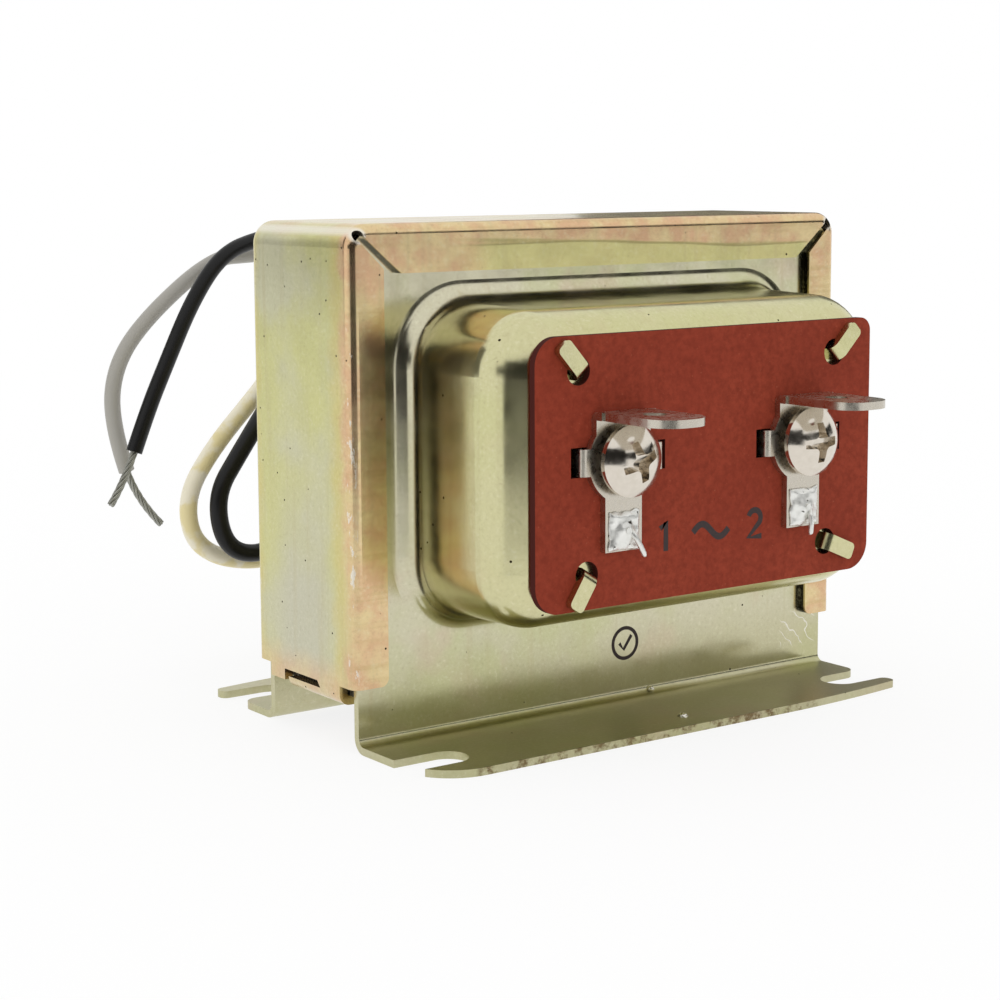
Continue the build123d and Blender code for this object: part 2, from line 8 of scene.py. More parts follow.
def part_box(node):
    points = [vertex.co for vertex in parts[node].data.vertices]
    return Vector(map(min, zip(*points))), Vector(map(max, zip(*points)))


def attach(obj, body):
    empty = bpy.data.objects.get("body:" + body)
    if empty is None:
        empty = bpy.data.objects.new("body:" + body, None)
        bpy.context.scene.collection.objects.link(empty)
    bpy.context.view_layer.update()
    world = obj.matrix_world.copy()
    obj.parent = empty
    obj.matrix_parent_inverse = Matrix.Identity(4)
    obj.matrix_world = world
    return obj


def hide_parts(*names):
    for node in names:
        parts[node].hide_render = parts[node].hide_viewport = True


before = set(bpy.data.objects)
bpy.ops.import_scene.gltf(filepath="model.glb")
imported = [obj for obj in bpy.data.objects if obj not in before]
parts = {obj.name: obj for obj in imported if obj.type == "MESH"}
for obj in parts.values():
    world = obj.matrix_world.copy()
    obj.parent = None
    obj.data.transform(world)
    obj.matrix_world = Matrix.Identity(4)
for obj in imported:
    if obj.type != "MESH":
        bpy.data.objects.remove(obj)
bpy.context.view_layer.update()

# Core: two butted stacks of silicon steel laminations, E-shaped above and straight below.
# Punched from sheet with a blue-grey oxide; only the lower stack's sides and underside show.
mm = 0.001


def linear(hex_code):
    """The linear colour, with alpha, of an sRGB hex value such as #8E3328."""
    channels = [int(hex_code[i:i + 2], 16) / 255 for i in (1, 3, 5)]
    return [c / 12.92 if c <= 0.04045 else ((c + 0.055) / 1.055) ** 2.4 for c in channels] + [1.0]


def node(tree, kind, inputs=None, **settings):
    """Add one node. An input is a plain value, a hex colour, a socket, or a node that gives one result."""
    made = tree.nodes.new("ShaderNode" + kind)
    for name, value in settings.items():
        setattr(made, name, value)
    for name, value in (inputs or {}).items():
        if isinstance(value, bpy.types.Node):
            value = value.outputs[2 if value.bl_idname == "ShaderNodeMix" else 0]
        if isinstance(value, bpy.types.NodeSocket):
            tree.links.new(value, made.inputs[name])
        elif isinstance(value, str):
            made.inputs[name].default_value = linear(value)
        else:
            made.inputs[name].default_value = value
    return made


def finish(name, metallic, roughness):
    """A new material: its node tree, its shader, and the object's coordinates in millimetres."""
    material = bpy.data.materials.new(name)
    material.use_nodes = True
    tree = material.node_tree
    shader = tree.nodes["Principled BSDF"]
    shader.inputs["Metallic"].default_value = metallic
    shader.inputs["Roughness"].default_value = roughness
    place = node(tree, "TexCoord").outputs["Object"]
    scaled = node(tree, "VectorMath", {0: place, "Scale": 1 / mm}, operation="SCALE")
    return material, tree, shader, scaled.outputs[0]


def wear(piece, material):
    """Give a piece this finish alone."""
    piece.data.materials.clear()
    piece.data.materials.append(material)


# In what follows a Mix node's inputs are 0 its share and 6 and 7 its colours, and a Map Range
# node's are 0 the value, 1 and 2 its limits, and 3 and 4 what it gives at them (0 and 1 if unsaid)
oxide, tree, shader, point = finish("silicon_steel_oxide", 0.8, 0.5)
lamination_pitch = 0.5
across = node(tree, "SeparateXYZ", {0: point}).outputs["Y"]
sheets = node(tree, "Math", {0: across, 1: 2 * pi / lamination_pitch}, operation="MULTIPLY")
sheet_lines = node(tree, "Math", {0: sheets}, operation="SINE")
burr = node(tree, "MapRange", {0: sheet_lines, 1: 0.2, 2: 1.0})
blotches = node(tree, "TexNoise", {"Vector": point, "Scale": 0.35, "Detail": 5.0})
steel = node(tree, "Mix", {0: blotches, 6: "#3A3833", 7: "#75705F"}, data_type="RGBA")
lined = node(tree, "Mix", {0: burr, 6: steel, 7: "#1D1A15"}, data_type="RGBA")
tree.links.new(lined.outputs[2], shader.inputs["Base Color"])
edges = node(tree, "Bump", {"Height": sheet_lines, "Distance": 0.05 * mm, "Strength": 0.6})
tree.links.new(edges.outputs[0], shader.inputs["Normal"])
for name in ("core_e_stack", "core_i_stack"):
    wear(parts[name], oxide)

# Coil: a nylon bobbin with enamelled copper in two chambers, each under a wrap of yellow tape,
# and a sheet of fish paper in front. All of it is closed in by the end plates.
# The nylon is left as moulded: milky and satin, faintly mottled.
nylon, tree, shader, point = finish("moulded_nylon", 0.0, 0.45)
mottle = node(tree, "TexNoise", {"Vector": point, "Scale": 0.4, "Detail": 3.0})
milky = node(tree, "Mix", {0: mottle, 6: "#D8D2BE", 7: "#E6E1D0"}, data_type="RGBA")
tree.links.new(milky.outputs[2], shader.inputs["Base Color"])
wear(parts["bobbin"], nylon)

# Drawn copper under clear enamel: reddish and glossy, ribbed by its turns
enamelled, tree, shader, point = finish("enamelled_copper", 1.0, 0.3)
turn_pitch = 0.35
height = node(tree, "SeparateXYZ", {0: point}).outputs["Z"]
turns = node(tree, "Math", {0: height, 1: 2 * pi / turn_pitch}, operation="MULTIPLY")
turn_lines = node(tree, "Math", {0: turns}, operation="SINE")
copper = node(tree, "Mix", {0: turn_lines, 6: "#8E4420", 7: "#B4612E"}, data_type="RGBA")
tree.links.new(copper.outputs[2], shader.inputs["Base Color"])
rounds = node(tree, "Bump", {"Height": turn_lines, "Distance": 0.1 * mm, "Strength": 1.0})
tree.links.new(rounds.outputs[0], shader.inputs["Normal"])
for name in ("primary_winding", "secondary_winding"):
    wear(parts[name], enamelled)

# Polyester tape, wound on tight: amber with a soft gloss and shallow creases
polyester, tree, shader, point = finish("polyester_tape", 0.0, 0.35)
creases = node(tree, "TexNoise", {"Vector": point, "Scale": 0.25, "Detail": 4.0})
amber = node(tree, "Mix", {0: creases, 6: "#D0A83A", 7: "#E4C25C"}, data_type="RGBA")
tree.links.new(amber.outputs[2], shader.inputs["Base Color"])
wrinkles = node(tree, "Bump", {"Height": creases, "Distance": 0.2 * mm, "Strength": 0.5})
tree.links.new(wrinkles.outputs[0], shader.inputs["Normal"])
for name in ("primary_tape", "secondary_tape", "coil_insulator"):
    wear(parts[name], polyester)

# Case band: one strip of drawn steel folded over the top and both sides, plated with zinc and
# passivated yellow. The thin film shows as pale green, turning to tan on the lips and at the folds.
# Each mask in it is a soft step between two limits.
soft = {"interpolation_type": "SMOOTHSTEP"}


def yellow_zinc(name, film_of, rubbed_of, smoothest, roughest):
    """Yellow passivated zinc. film_of gives the film's colour at a point, rubbed_of its chalky wear."""
    material, tree, shader, point = finish(name, 1.0, roughest)
    film = film_of(tree, point)

    # Fine grain of the rolled sheet under the plate, 0.4 mm coarse, and long faint drawing marks
    grain = node(tree, "TexNoise", {"Vector": point, "Scale": 2.4, "Detail": 5.0, "Roughness": 0.7})
    dark_grain = node(tree, "MapRange", {0: grain, 1: 0.52, 2: 0.75, 4: 0.22}, **soft)
    film = node(tree, "Mix", {0: dark_grain, 6: film, 7: "#8F8660"}, data_type="RGBA")
    light_grain = node(tree, "MapRange", {0: grain, 1: 0.48, 2: 0.28, 4: 0.25}, **soft)
    film = node(tree, "Mix", {0: light_grain, 6: film, 7: "#E9E4CC"}, data_type="RGBA")
    upright = node(tree, "VectorMath", {0: point, 1: (1.5, 1.5, 0.06)}, operation="MULTIPLY")
    drawn = node(tree, "TexNoise", {"Vector": upright, "Scale": 0.7, "Detail": 3.0})
    streaks = node(tree, "MapRange", {0: drawn, 1: 0.5, 2: 0.8, 4: 0.3}, **soft)
    film = node(tree, "Mix", {0: streaks, 6: film, 7: "#B9AE86"}, data_type="RGBA")

    # Pits in the plate: dark dots of 0.1 to 0.3 mm, a few to the square centimetre
    cells = node(tree, "TexVoronoi", {"Vector": point, "Scale": 0.55})
    chance = node(tree, "SeparateColor", {0: cells.outputs["Color"]})
    dot_size = node(tree, "MapRange", {0: chance, 1: 0.4, 4: 0.08})
    pits = node(tree, "Math", {0: cells.outputs["Distance"], 1: dot_size}, operation="LESS_THAN")
    film = node(tree, "Mix", {0: pits, 6: film, 7: "#453D28"}, data_type="RGBA")

    # Chalky white corrosion where the film was rubbed through
    rubbed = rubbed_of(tree, point)
    film = node(tree, "Mix", {0: rubbed, 6: film, 7: "#EFEBDF"}, data_type="RGBA")
    tree.links.new(film.outputs[2], shader.inputs["Base Color"])

    # Satin in patches, and duller in the pits, on the chalk and on the feet, which slid on things
    patches = node(tree, "TexNoise", {"Vector": point, "Scale": 0.25, "Detail": 3.0})
    rough = node(tree, "MapRange", {0: patches, 1: 0.3, 2: 0.7, 3: smoothest, 4: roughest}, **soft)
    height = node(tree, "SeparateXYZ", {0: point}).outputs["Z"]
    duller = [node(tree, "MapRange", {0: height, 1: 2.0, 2: 1.0, 4: 0.36}, **soft)]
    duller.append(node(tree, "Math", {0: pits, 1: 0.7}, operation="MULTIPLY"))
    duller.append(node(tree, "Math", {0: rubbed, 1: 0.45}, operation="MULTIPLY"))
    for dull in duller:
        rough = node(tree, "Math", {0: rough, 1: dull}, operation="MAXIMUM")
    tree.links.new(rough.outputs[0], shader.inputs["Roughness"])

    # Slight waviness of the pressed sheet, about 10 mm from crest to crest
    waves = node(tree, "TexNoise", {"Vector": point, "Scale": 0.1, "Detail": 1.0})
    wavy = node(tree, "Bump", {"Height": waves, "Distance": 0.25 * mm, "Strength": 0.2})
    fine = {"Height": grain, "Distance": 0.003 * mm, "Strength": 0.5, "Normal": wavy}
    tree.links.new(node(tree, "Bump", fine).outputs[0], shader.inputs["Normal"])
    return material


def band_film(tree, point):
    """Pale green walls with painted shade greying their lower middle, tan lips and folds, a green stain on
    the top lip, and painted shade on the sheared edges in the mitres.
    """
    axes = node(tree, "SeparateXYZ", {0: point})
    height = axes.outputs["Z"]
    out_x = node(tree, "Math", {0: axes.outputs["X"]}, operation="ABSOLUTE")
    out_y = node(tree, "Math", {0: axes.outputs["Y"]}, operation="ABSOLUTE")
    clouds = node(tree, "TexNoise", {"Vector": point, "Scale": 0.08, "Detail": 4.0})
    cloudy = node(tree, "MapRange", {0: clouds, 1: 0.38, 2: 0.62}, **soft)
    film = node(tree, "Mix", {0: cloudy, 6: "#CBC98E", 7: "#C9C7A6"}, data_type="RGBA")
    # The walls' greyer lower middle is painted shade, standing in for a darker reflection there
    middle = node(tree, "MapRange", {0: out_y, 1: 7.0, 2: 2.0, 4: 0.75}, **soft)
    painted_low_wall_shade = node(tree, "MapRange", {0: height, 1: 34.0, 2: 14.0, 4: middle}, **soft)
    film = node(tree, "Mix", {0: painted_low_wall_shade, 6: film, 7: "#C3C0AC"}, data_type="RGBA")

    # Toward the front fold the film turns yellow, then pinkish tan, and so do the ends of the walls
    mottle = node(tree, "TexNoise", {"Vector": point, "Scale": 0.3, "Detail": 4.0})
    wander = node(tree, "MapRange", {0: mottle, 3: -1.4, 4: 1.4})
    to_front = node(tree, "Math", {0: axes.outputs["Y"], 1: -1.0}, operation="MULTIPLY")
    to_rear = node(tree, "Math", {0: out_y, 1: 2.2}, operation="SUBTRACT")
    to_fold = node(tree, "Math", {0: to_front, 1: to_rear}, operation="MAXIMUM")
    at_fold = node(tree, "Math", {0: to_fold, 1: wander}, operation="ADD")
    at_end = node(tree, "Math", {0: height, 1: wander}, operation="ADD")
    yellow = node(tree, "MapRange", {0: at_fold, 1: 5.2, 2: 7.4, 4: 0.6}, **soft)
    film = node(tree, "Mix", {0: yellow, 6: film, 7: "#D3C27A"}, data_type="RGBA")
    tan = node(tree, "MapRange", {0: at_fold, 1: 7.2, 2: 9.2}, **soft)
    top_end, low_end, lip = (at_end, 51.6, 54.5, 0.6), (at_end, 10.0, 6.5, 0.7), (out_y, 9.0, 9.4, 1.0)
    for value, start, full, most in (top_end, low_end, lip):
        more = node(tree, "MapRange", {0: value, 1: start, 2: full, 4: most}, **soft)
        tan = node(tree, "Math", {0: tan, 1: more}, operation="MAXIMUM")
    pinker = node(tree, "MapRange", {0: mottle, 1: 0.35, 2: 0.65}, **soft)
    tan_film = node(tree, "Mix", {0: pinker, 6: "#E0CA9A", 7: "#DAB48E"}, data_type="RGBA")
    film = node(tree, "Mix", {0: tan, 6: film, 7: tan_film}, data_type="RGBA")

    # The top lip is streaked lengthwise
    along = node(tree, "VectorMath", {0: point, 1: (0.06, 0.5, 1.4)}, operation="MULTIPLY")
    rolled = node(tree, "TexNoise", {"Vector": along, "Scale": 0.8, "Detail": 3.0})
    streaks = node(tree, "MapRange", {0: rolled, 1: 0.5, 2: 0.7, 4: 0.4}, **soft)
    streaks = node(tree, "Math", {0: tan, 1: streaks}, operation="MULTIPLY")
    film = node(tree, "Mix", {0: streaks, 6: film, 7: "#C4AC78"}, data_type="RGBA")

    # It also keeps an olive stain along its lower half, with a darker tide mark at the stain's edge
    uneven = node(tree, "TexNoise", {"Vector": along, "Scale": 0.35, "Detail": 2.0})
    drift = node(tree, "MapRange", {0: uneven, 3: -2.6, 4: 2.6})
    tide = node(tree, "Math", {0: height, 1: drift}, operation="ADD")
    stain = 0.85
    in_lip, off_corner = (out_y, 9.0, 9.5), (out_x, 29.5, 27.5)
    off_left, under_tide = (axes.outputs["X"], -22.0, -14.0), (tide, 51.4, 51.0)
    for value, start, full in (in_lip, off_corner, off_left, under_tide):
        stain = node(tree, "MapRange", {0: value, 1: start, 2: full, 4: stain}, **soft)
    film = node(tree, "Mix", {0: stain, 6: film, 7: "#CFCB8C"}, data_type="RGBA")
    tide_mark = node(tree, "MapRange", {0: tide, 1: 50.7, 2: 51.0, 4: stain}, **soft)
    tide_mark = node(tree, "Math", {0: tide_mark, 1: 0.59}, operation="MULTIPLY")
    film = node(tree, "Mix", {0: tide_mark, 6: film, 7: "#7A683C"}, data_type="RGBA")

    # The sheared edges in the mitres are painted near black: painted shade of the deep gaps between the
    # lips and the plate
    painted_mitre_gap_shade = 1.0
    behind_face, before_plate = (out_y, 9.66, 9.45), (out_y, 8.7, 8.86)
    in_side, under_top = (out_x, 31.7, 31.3), (height, 52.3, 51.9)
    for value, start, full in (behind_face, before_plate, in_side, under_top):
        painted_mitre_gap_shade = node(tree, "MapRange", {0: value, 1: start, 2: full, 4: painted_mitre_gap_shade}, **soft)
    return node(tree, "Mix", {0: painted_mitre_gap_shade, 6: film, 7: "#1B1710"}, data_type="RGBA")


def band_rubbed(tree, point):
    """Chalky rub marks down the folds, and a bright ring worn round each relief hole."""
    axes = node(tree, "SeparateXYZ", {0: point})
    height = axes.outputs["Z"]
    out_x = node(tree, "Math", {0: axes.outputs["X"]}, operation="ABSOLUTE")
    out_y = node(tree, "Math", {0: axes.outputs["Y"]}, operation="ABSOLUTE")
    flecks = node(tree, "VectorMath", {0: point, 1: (1.0, 1.0, 0.3)}, operation="MULTIPLY")
    chance = node(tree, "TexNoise", {"Vector": flecks, "Scale": 1.3, "Detail": 6.0, "Roughness": 0.7})
    fewer_above = node(tree, "MapRange", {0: height, 1: 38.0, 2: 28.0, 3: 0.06, 4: 0.0}, **soft)
    likely = node(tree, "Math", {0: chance, 1: fewer_above}, operation="SUBTRACT")
    marks = 0.8
    for value, start, full in ((out_y, 8.6, 8.9), (out_x, 32.2, 32.6), (likely, 0.56, 0.62)):
        marks = node(tree, "MapRange", {0: value, 1: start, 2: full, 4: marks}, **soft)

    hole_centre = (31.8, 0.0, 52.3)
    spot = node(tree, "CombineXYZ", {0: out_x, 2: height})
    away = node(tree, "VectorMath", {0: spot, 1: hole_centre}, operation="DISTANCE").outputs["Value"]
    ring = node(tree, "MapRange", {0: away, 1: 1.0, 2: 0.6, 4: 0.8}, **soft)
    return node(tree, "Math", {0: marks, 1: ring}, operation="MAXIMUM")


band_zinc = yellow_zinc("yellow_zinc_folded", band_film, band_rubbed, 0.19, 0.26)
wear(parts["case_band"], band_zinc)


# End plates: two equal pressings with a drawn boss and a slotted foot bent out at the bottom.
# The same zinc plate, greyer than the band, with faint clouds of pink and lilac; painted shade makes it
# darker olive near the feet.
def plate_film(tree, point):
    """Grey-green with pale pinkish clouds, painted shade turning it darker olive toward the foot, and
    yellower on the boss.
    """
    axes = node(tree, "SeparateXYZ", {0: point})
    height = axes.outputs["Z"]
    out_y = node(tree, "Math", {0: axes.outputs["Y"]}, operation="ABSOLUTE")
    clouds = node(tree, "TexNoise", {"Vector": point, "Scale": 0.06, "Detail": 4.0, "Roughness": 0.6})
    cloudy = node(tree, "MapRange", {0: clouds, 1: 0.36, 2: 0.62}, **soft)
    film = node(tree, "Mix", {0: cloudy, 6: "#C3C39A", 7: "#CDC8AE"}, data_type="RGBA")
    apart = {"Vector": point, "W": 4.0, "Scale": 0.13, "Detail": 3.0}
    blooms = node(tree, "TexNoise", apart, noise_dimensions="4D")
    pinker = node(tree, "MapRange", {0: blooms, 1: 0.52, 2: 0.7, 4: 0.55}, **soft)
    film = node(tree, "Mix", {0: pinker, 6: film, 7: "#CDB9A6"}, data_type="RGBA")
    # Painted shade: the plate turns darker olive toward the foot, where it reflects the shaded floor
    painted_foot_shade = node(tree, "MapRange", {0: height, 1: 12.0, 2: 3.0, 4: 0.45}, **soft)
    film = node(tree, "Mix", {0: painted_foot_shade, 6: film, 7: "#B2AE80"}, data_type="RGBA")

    # The sheared edge of each foot has rusted in spots
    rust = node(tree, "TexNoise", {"Vector": point, "Scale": 0.8, "Detail": 6.0, "Roughness": 0.7})
    rusted = node(tree, "MapRange", {0: rust, 1: 0.45, 2: 0.62, 3: 0.15, 4: 0.9}, **soft)
    for value, start, full in ((out_y, 22.6, 22.72), (height, 3.0, 2.0)):
        rusted = node(tree, "MapRange", {0: value, 1: start, 2: full, 4: rusted}, **soft)
    film = node(tree, "Mix", {0: rusted, 6: film, 7: "#6B5636"}, data_type="RGBA")

    on_boss = 0.6
    for value, start, full in ((height, 11.5, 14.0), (out_y, 9.5, 13.0)):
        on_boss = node(tree, "MapRange", {0: value, 1: start, 2: full, 4: on_boss}, **soft)
    return node(tree, "Mix", {0: on_boss, 6: film, 7: "#D0CC94"}, data_type="RGBA")


def plate_rubbed(tree, point):
    """A patch of crossing scratches at the right of the plate, and stray light nicks."""
    axes = node(tree, "SeparateXYZ", {0: point})
    across, height = axes.outputs["X"], axes.outputs["Z"]
    bent = {"Vector": point, "Scale": 0.3, "Distortion": 7.0, "Detail": 2.0, "Detail Scale": 1.2}
    lines = node(tree, "TexWave", bent, bands_direction="DIAGONAL").outputs["Fac"]
    scratches = 0.8
    from_left, from_right = (across, 25.6, 26.4), (across, 31.6, 30.8)
    from_below, from_above = (height, 2.9, 3.6), (height, 7.4, 6.6)
    for value, start, full in (from_left, from_right, from_below, from_above, (lines, 0.965, 0.99)):
        scratches = node(tree, "MapRange", {0: value, 1: start, 2: full, 4: scratches}, **soft)
    chance = node(tree, "TexNoise", {"Vector": point, "Scale": 1.1, "Detail": 6.0, "Roughness": 0.75})
    nicks = node(tree, "MapRange", {0: chance, 1: 0.7, 2: 0.74, 4: 0.5}, **soft)
    return node(tree, "Math", {0: scratches, 1: nicks}, operation="MAXIMUM")


drawn_zinc = yellow_zinc("yellow_zinc_drawn", plate_film, plate_rubbed, 0.16, 0.24)
for name in ("front_plate", "rear_plate"):
    wear(parts[name], drawn_zinc)


# Zinc drops: two beads that dripped on the front foot in the plating bath and froze there.
# They lie low, spread a little where they met the sheet, and are brighter than the film round them.
def mesh_of(name, shape):
    """The finished mesh of a shape that was built up in bmesh."""
    mesh = bpy.data.meshes.new(name)
    shape.to_mesh(mesh)
    shape.free()
    return mesh


def add_piece(name, data):
    """A new object in the scene, made of a mesh, a curve or a camera."""
    piece = bpy.data.objects.new(name, data)
    bpy.context.scene.collection.objects.link(piece)
    return piece


bright_zinc, tree, shader, point = finish("bright_zinc_drop", 1.0, 0.18)
skin = node(tree, "TexNoise", {"Vector": point, "Scale": 2.0, "Detail": 3.0})
bright = node(tree, "Mix", {0: skin, 6: "#CFCBBB", 7: "#F1EFE6"}, data_type="RGBA")
tree.links.new(bright.outputs[2], shader.inputs["Base Color"])
root = "root"
drop_spread = 1.25
drop_height = 0.85
drop_lump_height = 0.12
drop_lumps_across = 1.6
for number, place, radius in ((1, (6.1, -9.1, 1.2), 0.36), (2, (2.1, -19.3, 0.8), 0.5)):
    shape = bmesh.new()
    bmesh.ops.create_icosphere(shape, subdivisions=4, radius=1.0)
    for vertex in shape.verts:
        seed = vertex.co * drop_lumps_across + Vector((number * 3.0, 0, 0))
        lump = 1.0 + drop_lump_height * noise.noise(seed)
        spread = drop_spread if vertex.co.z < 0 else 1.0
        flattened = Vector((vertex.co.x * spread, vertex.co.y * spread, vertex.co.z * drop_height))
        vertex.co = (flattened * lump * radius + Vector(place)) * mm
    name = f"zinc_drop_{number}"
    drop = add_piece(name, mesh_of(name, shape))
    drop.data.shade_smooth()
    wear(drop, bright_zinc)
    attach(drop, root)

# Terminal board: red vulcanised fibre, punched from sheet. Dry and matte, with a slight mottle
# of pressed cotton fibre, and darker on its edges.
fibre, tree, shader, point = finish("vulcanised_fibre", 0.0, 0.8)
shader.inputs["Specular IOR Level"].default_value = 0.2
pulp = node(tree, "TexNoise", {"Vector": point, "Scale": 1.2, "Detail": 8.0, "Roughness": 0.75})
mottled = node(tree, "MapRange", {0: pulp, 1: 0.3, 2: 0.7}, **soft)
red = node(tree, "Mix", {0: mottled, 6: "#7A2C19", 7: "#933B26"}, data_type="RGBA")
shade = node(tree, "TexNoise", {"Vector": point, "Scale": 0.12, "Detail": 2.0})
shaded = node(tree, "MapRange", {0: shade, 1: 0.35, 2: 0.65, 4: 0.3}, **soft)
red = node(tree, "Mix", {0: shaded, 6: red, 7: "#7B2918"}, data_type="RGBA")
lint = node(tree, "TexNoise", {"Vector": point, "Scale": 3.2, "Detail": 3.0})
light_lint = node(tree, "MapRange", {0: lint, 1: 0.66, 2: 0.74, 4: 0.5}, **soft)
red = node(tree, "Mix", {0: light_lint, 6: red, 7: "#AD6248"}, data_type="RGBA")
dark_lint = node(tree, "MapRange", {0: lint, 1: 0.33, 2: 0.26, 4: 0.5}, **soft)
red = node(tree, "Mix", {0: dark_lint, 6: red, 7: "#581D13"}, data_type="RGBA")
# The edges, where the face turns away from front and back, are made darker
normal = node(tree, "NewGeometry").outputs["Normal"]
facing = node(tree, "SeparateXYZ", {0: normal}).outputs["Y"]
on_face = node(tree, "Math", {0: facing}, operation="ABSOLUTE")
red = node(tree, "Mix", {0: on_face, 6: "#45150F", 7: red}, data_type="RGBA")
tree.links.new(red.outputs[2], shader.inputs["Base Color"])
fuzz = node(tree, "Bump", {"Height": pulp, "Distance": 0.05 * mm, "Strength": 0.5})
tree.links.new(fuzz.outputs[0], shader.inputs["Normal"])
wear(parts["terminal_board"], fibre)

# Ink on the board: a plain wave for alternating current between the numbers of the two terminals,
# rubber-stamped in black, with the ink taken up unevenly by the fibre
ink, tree, shader, point = finish("stamping_ink", 0.0, 0.55)
uptake = node(tree, "TexNoise", {"Vector": point, "Scale": 3.0, "Detail": 4.0})
black = node(tree, "Mix", {0: uptake, 6: "#171313", 7: "#3A201C"}, data_type="RGBA")
tree.links.new(black.outputs[2], shader.inputs["Base Color"])


def inked_line(name, points, width, x, z, plane):
    """A flat stroke of ink along points in millimetres, moved to x and z on an upright plane."""
    line = [Vector(p) * mm + Vector((x, z)) for p in points]
    shape = bmesh.new()
    rims = []
    for i, spot in enumerate(line):
        ahead = (line[min(i + 1, len(line) - 1)] - line[max(i - 1, 0)]).normalized()
        across = Vector((-ahead.y, ahead.x)) * width / 2
        rims.append([shape.verts.new((p.x, plane, p.y)) for p in (spot + across, spot - across)])
    for first, second in zip(rims, rims[1:]):
        shape.faces.new((first[0], second[0], second[1], first[1]))
    stroke = add_piece(name, mesh_of(name, shape))
    wear(stroke, ink)
    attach(stroke, root)


def arc(radius, start, end, steps, z=0.0):
    """Points on an arc, its angles in degrees from the right."""
    angles = [radians(start + (end - start) * i / steps) for i in range(steps + 1)]
    return [(radius * cos(a), z + radius * sin(a)) for a in angles]


ink_lift = 0.012 * mm
ink_height = 22.0 * mm
ink_number_x = 6.0 * mm
ink_number_width = 0.62 * mm
ink_wave_width = 0.7 * mm
ink_wave_reach = 2.4
ink_wave_rise = 0.75
ink_wave_steps = 40
board_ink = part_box("terminal_board")[0].y - ink_lift
shares = [i / ink_wave_steps for i in range(ink_wave_steps + 1)]
wave = [((2 * t - 1) * ink_wave_reach, ink_wave_rise * sin(2 * pi * t)) for t in shares]
one = [(-0.75, 0.85), (0.0, 1.5), (0.0, -1.5)]
two = arc(0.85, 160, -35, 24, z=0.65) + [(-0.85, -1.3), (1.0, -1.3)]
inked_line("ink_wave", wave, ink_wave_width, 0.0, ink_height, board_ink)
inked_line("ink_one", one, ink_number_width, -ink_number_x, ink_height, board_ink)
inked_line("ink_two", two, ink_number_width, ink_number_x, ink_height, board_ink)

# Inspection stamp: a plain ring with a tick, on the front plate under the boss. The same ink,
# from a rubber stamp of 3.4 mm; the plate's face lies one sheet behind the band's lips.
stamp_x = 2.65 * mm
stamp_z = 6.8 * mm
stamp_width = 0.4 * mm
stamp_radius = 1.7
band_sheet = 0.95 * mm
plate_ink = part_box("case_band")[0].y + band_sheet - ink_lift
tick = [(-0.8, 0.05), (-0.2, -0.7), (0.9, 0.8)]
inked_line("stamp_ring", arc(stamp_radius, 0, 360, 48), stamp_width, stamp_x, stamp_z, plate_ink)
inked_line("stamp_tick", tick, stamp_width, stamp_x, stamp_z, plate_ink)


# Terminals and screws: brass tabs and steel screws, all nickel-plated and slightly warm. The screws
# were tumbled bright; the punched tabs are duller and carry small handling marks.
def nickel(name, dark, light, smoothest, roughest):
    """Nickel plate between two colours and two roughnesses."""
    material, tree, shader, point = finish(name, 1.0, roughest)
    haze = node(tree, "TexNoise", {"Vector": point, "Scale": 1.2, "Detail": 5.0})
    plate = node(tree, "Mix", {0: haze, 6: dark, 7: light}, data_type="RGBA")
    tree.links.new(plate.outputs[2], shader.inputs["Base Color"])
    handled = node(tree, "MapRange", {0: haze, 1: 0.35, 2: 0.7, 3: smoothest, 4: roughest}, **soft)
    tree.links.new(handled.outputs[0], shader.inputs["Roughness"])
    return material


tumbled = nickel("tumbled_nickel", "#CFC6B8", "#E4DDD2", 0.12, 0.22)
punched = nickel("punched_nickel", "#BDB6A8", "#D8D2C6", 0.24, 0.34)
for side in ("left", "right"):
    wear(parts[f"terminal_{side}"], punched)
    wear(parts[f"terminal_screw_{side}"], tumbled)

# Solder: tin-lead, dabbed on the tails with an iron so that it set lumpy and pitted with flux,
# with the tinned wire end of the secondary lying in it and its tip standing clear below.
solder, tree, shader, point = finish("tin_solder", 1.0, 0.4)
lumps = node(tree, "TexNoise", {"Vector": point, "Scale": 1.1, "Detail": 4.0})
silver = node(tree, "Mix", {0: lumps, 6: "#D8D8D2", 7: "#FAFAF6"}, data_type="RGBA")
flux = node(tree, "TexNoise", {"Vector": point, "Scale": 1.5, "Detail": 2.0})
pitted = node(tree, "MapRange", {0: flux, 1: 0.66, 2: 0.69}, **soft)
silver = node(tree, "Mix", {0: pitted, 6: silver, 7: "#4A453E"}, data_type="RGBA")
tree.links.new(silver.outputs[2], shader.inputs["Base Color"])
swell = node(tree, "Bump", {"Height": lumps, "Distance": 0.12 * mm, "Strength": 0.6})
tree.links.new(swell.outputs[0], shader.inputs["Normal"])
coat_steps = 44
coat_thin = 0.4
coat_dome = 0.5
coat_dome_sharpness = 4.0
coat_lump_height = 0.26
coat_lumps_across = 2.2
coat_least, coat_most = 0.2, 0.98
coat_ragged = 0.1
coat_rim = 0.3
wire_radius = 0.3 * mm
wire_sag = 0.18 * mm
wire_sides = 14
wire_taper = ((0.0, 1.0), (0.3, 1.0), (0.6, 0.95), (0.9, 0.9), (0.97, 0.7), (1.0, 0.3))


